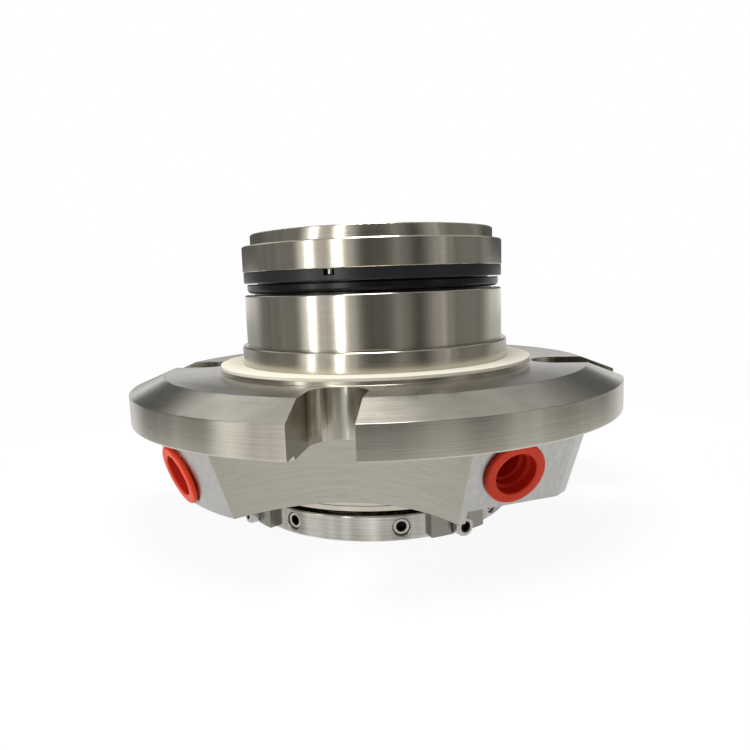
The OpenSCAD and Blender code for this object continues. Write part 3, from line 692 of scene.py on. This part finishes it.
# Radius and height of each corner from the tip outwards. A grub screw's tip is at its place, and a
# cap screw has its place under its head, on the clip's plate
grub_outline = [(1.6, 0.0), (2.2, 0.0), (2.98, 0.9), (2.98, 13.7), (2.8, 14.0), (1.8, 14.0)]
grub_turns = 17.5 + 45.0 * np.arange(8)
grub_place = {"seat": COLLAR_R - 1.3 - 13.5, "height": 5.05}
cap_outline = [(1.5, -9.5), (1.98, -9.0), (1.98, 0.0), (3.5, 0.0), (3.5, 3.4), (3.0, 4.0), (1.95, 4.0)]
cap_turns = 40.0 + 90.0 * np.arange(4)
cap_place = {"seat": COLLAR_R + 2.12, "height": 3.9}
grubs = place_screws("collar_grub_screws", grub_outline, 13.8, 10.8, grub_turns, **grub_place)
caps_made = place_screws("clip_screws", cap_outline, 3.7, 1.9, cap_turns, **cap_place)
print("screws:", grubs, "and", caps_made, "faces")

# %% [markdown]
# The springs are wound wire: a small circle carried along a helix whose first and last coils lie flat.
# They can't be seen from outside, but the seal lives by them. How far they would shorten as its faces
# float is worked out as a share of their length, not applied.

# %% Wound springs
# Millimetres: middle of the coil, half the wire, and the circle on which six springs stand
COIL_R = 2.1
WIRE_R = 0.4
SPRING_CIRCLE = 43.6
SPRINGS = 6
COILS = 4.0
WIRE_STEPS = 130
WIRE_SIDES = 8


def wound_wire(foot, top):
    """Point (i, j) = centre of the wire at t_i + WIRE_R (cos b_j outwards + sin b_j upwards), and the
    centre climbs by t - 0.12 sin(2 pi t), so that the end coils close."""
    t = np.linspace(0.0, 1.0, WIRE_STEPS)
    spin = 2 * math.pi * COILS * t
    climb = foot + WIRE_R + (top - foot - 2 * WIRE_R) * (t - 0.12 * np.sin(2 * math.pi * t))
    bend = np.arange(WIRE_SIDES) * (2 * math.pi / WIRE_SIDES)
    out = COIL_R + WIRE_R * np.cos(bend)
    grid = np.stack([
        np.cos(spin)[:, None] * out,
        np.sin(spin)[:, None] * out,
        climb[:, None] + WIRE_R * np.sin(bend),
    ], axis=-1)
    ends = np.column_stack([COIL_R * np.cos(spin), COIL_R * np.sin(spin), climb])[[0, -1]]
    return np.concatenate([grid.reshape(-1, 3), ends])


def ring_of_springs(node, foot, top, travel):
    """Springs on a circle round the shaft, and the share of their length that is left after the travel."""
    points = wound_wire(foot, top)
    turn = 2 * math.pi * np.arange(SPRINGS) / SPRINGS
    middle = SPRING_CIRCLE * np.column_stack([np.cos(turn), np.sin(turn), np.zeros(SPRINGS)])
    placed = (middle[:, None, :] + points).reshape(-1, 3)
    quads = repeated(grid_faces(WIRE_STEPS, WIRE_SIDES), SPRINGS, len(points))
    caps = repeated(end_caps(WIRE_STEPS, WIRE_SIDES), SPRINGS, len(points))
    piece = make_piece(node + "_wound", placed, quads, caps, node, crease=60.0)
    keep = 1.0 - travel / (top - foot)
    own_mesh(piece)
    return keep


inboard_keep = ring_of_springs("inboard_springs", 62.0, 72.0, 0.6)
outboard_keep = ring_of_springs("outboard_springs", 25.95, 35.15, 1.0)
print("springs shorten to", round(inboard_keep, 3), "and", round(outboard_keep, 3), "of their length")

# %% [markdown]
# The table and the backdrop are white. Their full glow is only for the camera, for shiny surfaces and
# for clear ones. Matt pieces get the dimmer light of a plain room, and the table keeps a matt share,
# which carries the seal's shadow.

# %% Floor
# Half of the floor's side in metres
FLOOR_HALF = 6.0
WHITE = (1.0, 1.0, 1.0, 1.0)


def stage_mesh(name, points, faces):
    """A mesh that belongs to the studio and not to the seal."""
    mesh = bpy.data.meshes.new(name)
    mesh.from_pydata(points, [], faces)
    thing = bpy.data.objects.new(name, mesh)
    scene.collection.objects.link(thing)
    return thing


def seen_directly(tree):
    """1 for rays from the camera, from a shiny surface or through a clear one, and 0 for others."""
    rays = add(tree, "ShaderNodeLightPath").outputs
    direct = calc(tree, "ADD", rays["Is Camera Ray"], rays["Is Glossy Ray"])
    return calc(tree, "MINIMUM", calc(tree, "ADD", direct, rays["Is Transmission Ray"]), 1.0)


corners = [(-FLOOR_HALF, -FLOOR_HALF, 0), (FLOOR_HALF, -FLOOR_HALF, 0),
           (FLOOR_HALF, FLOOR_HALF, 0), (-FLOOR_HALF, FLOOR_HALF, 0)]
floor = stage_mesh("floor", corners, [(0, 1, 2, 3)])
floor_paint, tree = bare_material("floor_paint")
matt = add(tree, "ShaderNodeBsdfDiffuse", {"Color": (0.9, 0.9, 0.9, 1.0)})
glow = add(tree, "ShaderNodeEmission", {"Color": WHITE, "Strength": 1.04})
share = calc(tree, "MULTIPLY", seen_directly(tree), 0.88)
mixed = add(tree, "ShaderNodeMixShader", {0: share, 1: matt.outputs[0], 2: glow.outputs[0]})
add(tree, "ShaderNodeOutputMaterial", {"Surface": mixed.outputs[0]})
floor.data.materials.append(floor_paint)
print("floor of", 2 * FLOOR_HALF, "m in place")

# %% Backdrop
world = bpy.data.worlds.new("white_room")
scene.world = world
world.use_nodes = True
tree = world.node_tree
tree.nodes.clear()
strength = calc(tree, "MULTIPLY_ADD", seen_directly(tree), 0.3, 0.7)
backdrop = add(tree, "ShaderNodeBackground", {"Color": WHITE, "Strength": strength})
add(tree, "ShaderNodeOutputWorld", {"Surface": backdrop.outputs[0]})
print("backdrop:", world.name)

# %% [markdown]
# Grey cards stand round a product like this, and their reflections are the bands on its steel. They
# could be separate sheets, but one round screen that the camera doesn't see is easier to tune: a ramp
# gives its grey for every angle. Where the screen is open, the steel shows the white backdrop itself.

# %% The round screen
# Metres: how far the screen stands from the shaft, and the height at which its roof would close
CARD_RADIUS = 0.24
CARD_TOP = 0.46


def screen_points(rings=32, columns=96):
    """A round wall that leans in to a roof: radius R cos(e)^0.4 and height H sin(e), for e from 0 to
    84 degrees."""
    lean = np.radians(np.linspace(0.0, 84.0, rings))
    outline = np.column_stack([CARD_RADIUS * np.cos(lean) ** 0.4, CARD_TOP * np.sin(lean)])
    return carried_round(outline, columns)


points = screen_points()
rows, columns = points.shape[:2]
screen = stage_mesh("grey_cards", points.reshape(-1, 3).tolist(), grid_faces(rows, columns).tolist())
screen.rotation_euler = (0.0, 0.0, math.radians(-90.0) + CAMERA_TURN)
screen.visible_camera = False
print("screen:", rows, "rings of", columns, "points")

# %% Grey cards round the seal
# Angle from the camera's side in degrees, grey, and cover (0 where the screen is open)
CARDS = [
    (-180, 1.0, 0), (-115, 0.2, 1), (-60, 0.25, 1), (-52, 1.0, 0), (-42, 0.6, 1), (-32, 0.6, 1),
    (-27, 1.0, 0), (-18, 0.6, 1), (-6, 0.1, 1), (6, 0.1, 1), (20, 0.3, 1), (34, 0.08, 1),
    (54, 0.5, 1), (65, 0.25, 1), (95, 0.25, 1), (120, 0.6, 1), (180, 1.0, 0),
]
# Height in metres and grey of what stands behind the seal, on the left and on the right
BEHIND_LEFT = [
    (0.0, 0.8), (0.02, 0.8), (0.03, 0.45), (0.06, 0.45), (0.075, 0.95), (0.088, 0.95), (0.098, 0.13),
    (0.158, 0.13), (0.19, 0.5), (0.215, 0.8), (0.245, 1.0), (0.40, 0.6),
]
BEHIND_RIGHT = [
    (0.0, 0.8), (0.02, 0.8), (0.03, 0.6), (0.06, 0.6), (0.075, 0.95), (0.088, 0.95), (0.098, 0.12),
    (0.15, 0.12), (0.2, 0.3), (0.24, 0.55), (0.40, 0.6),
]
print("cards:", len(CARDS), "stops round the seal and", len(BEHIND_LEFT) + len(BEHIND_RIGHT), "behind it")

# %% Ramps of grey


def ramp(tree, value, stops, blend):
    """A row of greys: each stop is a place from 0 to 1, a grey, and a cover."""
    node = add(tree, "ShaderNodeValToRGB", {0: value})
    node.color_ramp.interpolation = blend
    marks = node.color_ramp.elements
    while len(marks) < len(stops):
        marks.new(0.5)
    for mark, (place, grey, cover) in zip(marks, stops):
        mark.position = place
        mark.color = (grey, grey, grey, cover)
    return node.outputs


def rise(tree, value, low, high):
    """0 up to low, 1 from high on, and a straight climb between."""
    return add(tree, "ShaderNodeMapRange", {"Value": value, "From Min": low, "From Max": high}).outputs[0]


def ramp_by_height(tree, height, stops):
    """The grey at a height of the screen, from rows of height and grey."""
    level = calc(tree, "DIVIDE", height, CARD_TOP)
    return ramp(tree, level, [(z / CARD_TOP, grey, 1) for z, grey in stops], "LINEAR")["Color"]


print("ramp helpers ready")

# %% Paint the screen
card_paint, tree = bare_material("card_paint")
place = add(tree, "ShaderNodeTexCoord").outputs["Object"]
height, angle = round_the_shaft(tree, place)[1:]
across = calc(tree, "MULTIPLY_ADD", angle, 1 / (2 * math.pi), 0.5)
band = ramp(tree, across, [(degrees / 360.0 + 0.5, grey, cover) for degrees, grey, cover in CARDS], "EASE")
folds = {"W": angle, "Scale": 14.0, "Detail": 4.0}
fold = add(tree, "ShaderNodeTexNoise", folds, noise_dimensions="1D").outputs[0]
folded = blend_colour(tree, fold, (0.3, 0.26, 0.2, 1.0), (1.8, 1.8, 1.8, 1.0))
band_grey = blend_colour(tree, 1.0, band["Color"], folded, "MULTIPLY")
# The roof fades in between 0.2 and 0.34 m, and what is behind takes over from 100 to 115 degrees on
roof = rise(tree, height, 0.2, 0.34)
is_behind = rise(tree, calc(tree, "ABSOLUTE", angle), 1.75, 2.0)
to_the_right = rise(tree, angle, -1.0, 1.0)
behind_left = ramp_by_height(tree, height, BEHIND_LEFT)
behind_right = ramp_by_height(tree, height, BEHIND_RIGHT)
front = blend_colour(tree, roof, band_grey, (0.5, 0.5, 0.5, 1.0))
behind = blend_colour(tree, to_the_right, behind_left, behind_right)
grey_level = blend_colour(tree, is_behind, front, behind)
cover = calc(tree, "MAXIMUM", calc(tree, "MAXIMUM", band["Alpha"], roof), is_behind)
card_glow = add(tree, "ShaderNodeEmission", {"Color": grey_level, "Strength": 1.0})
clear = add(tree, "ShaderNodeBsdfTransparent")
card_mix = add(tree, "ShaderNodeMixShader", {0: cover, 1: clear.outputs[0], 2: card_glow.outputs[0]})
add(tree, "ShaderNodeOutputMaterial", {"Surface": card_mix.outputs[0]})
screen.data.materials.append(card_paint)
print("painted:", screen.name, "of radius", CARD_RADIUS, "m")

# %% [markdown]
# Two upright strips and one panel overhead light the seal softly. The strips stand in the open places
# of the screen, where the long bright bands on the barrel come from.

# %% Lamps
LAMP_AIM = Vector((0.0, 0.0, 0.055))


def panel_lamp(name, angle, distance, height, wide, tall, power):
    """A rectangular lamp at an angle from the camera's side, aimed at the middle of the seal."""
    light = bpy.data.lights.new(name, "AREA")
    light.shape = "RECTANGLE"
    light.size = wide
    light.size_y = tall
    light.energy = power
    lamp = bpy.data.objects.new(name, light)
    turn = math.radians(angle - 90.0) + CAMERA_TURN
    lamp.location = (distance * math.cos(turn), distance * math.sin(turn), height)
    lamp.rotation_euler = (LAMP_AIM - lamp.location).to_track_quat("-Z", "Y").to_euler()
    lamp.visible_camera = False
    scene.collection.objects.link(lamp)


panel_lamp("left_strip", angle=-50, distance=0.5, height=0.16, wide=0.05, tall=0.4, power=0.6)
panel_lamp("front_strip", angle=-27, distance=0.5, height=0.16, wide=0.04, tall=0.4, power=0.5)
panel_lamp("overhead", angle=-10, distance=0.08, height=0.42, wide=0.16, tall=0.16, power=1.0)
